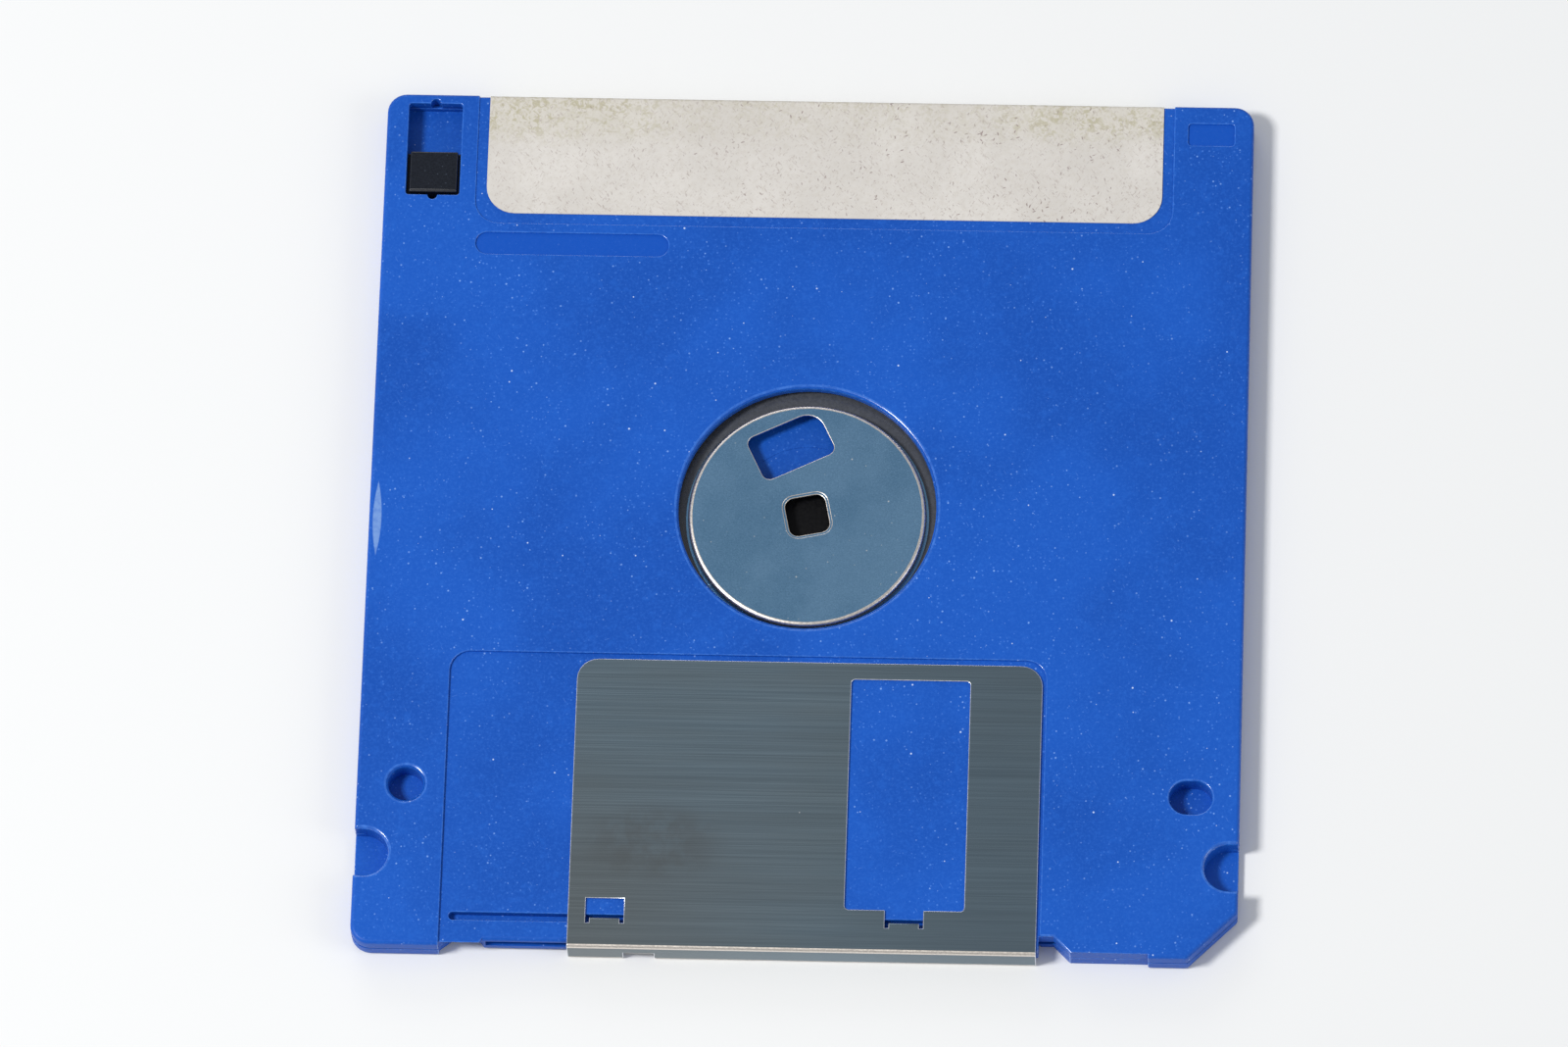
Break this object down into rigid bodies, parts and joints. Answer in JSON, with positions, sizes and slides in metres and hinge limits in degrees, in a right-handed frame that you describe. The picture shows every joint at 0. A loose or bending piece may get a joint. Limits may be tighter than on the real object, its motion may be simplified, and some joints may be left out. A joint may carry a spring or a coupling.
{
  "type": "floppy disk",
  "caption": "Flat square-cornered magnetic disk cartridge with a sliding steel shutter, an exposed steel hub, a write-protect slide and a folded paper label.",
  "frame": {"origin": "middle of the case's outline, in the plane that the case rests on (its label side)", "axes": "+X to the right when looking at the hub side with the shutter toward the viewer, +Y from the shutter end to the label end, +Z out of the hub side"},
  "size_m": [0.09, 0.094, 0.0033],
  "materials": {
    "hub_side_shell": "fine satin texture",
    "label_side_shell": "fine satin texture",
    "shutter": "fine brushing across the width",
    "shutter_spring": "drawn wire",
    "magnetic_disk": "smooth coated film",
    "hub": "satin pressed steel",
    "hub_adhesive_ring": "adhesive film",
    "liner": "bonded fibre",
    "liner_lifter": "plain film",
    "hub_wear_pad": "smooth",
    "write_protect_slide": "satin",
    "label": "coated paper"
  },
  "bodies": {
    "case": {"hub_side_shell": "hub_side_shell", "label_side_shell": "label_side_shell", "hub_side_liner": "liner", "label_side_liner": "liner", "liner_lifter": "liner_lifter", "hub_wear_pad": "hub_wear_pad", "label": "label", "shutter_spring": "shutter_spring"},
    "shutter_body": {"shutter": "shutter"},
    "disk_body": {"hub": "hub", "hub_adhesive_ring": "hub_adhesive_ring", "magnetic_disk": "magnetic_disk"},
    "slide_body": {"write_protect_slide": "write_protect_slide"}
  },
  "joints": [
    {"name": "shutter_slide", "type": "slide", "parent": "case", "child": "shutter_body", "axis": [-1, 0, 0], "range_m": [0, 0.0112], "stiffness_N_per_m": 20, "springref_m": -0.012, "deforming": ["shutter_spring"]},
    {"name": "disk_spin", "type": "hinge", "parent": "case", "child": "disk_body", "pos_m": [0, 0.00085, 0.0015], "axis": [0, 0, 1], "continuous": true},
    {"name": "write_protect_travel", "type": "slide", "parent": "case", "child": "slide_body", "axis": [0, 1, 0], "range_m": [0, 0.005]}
  ]
}
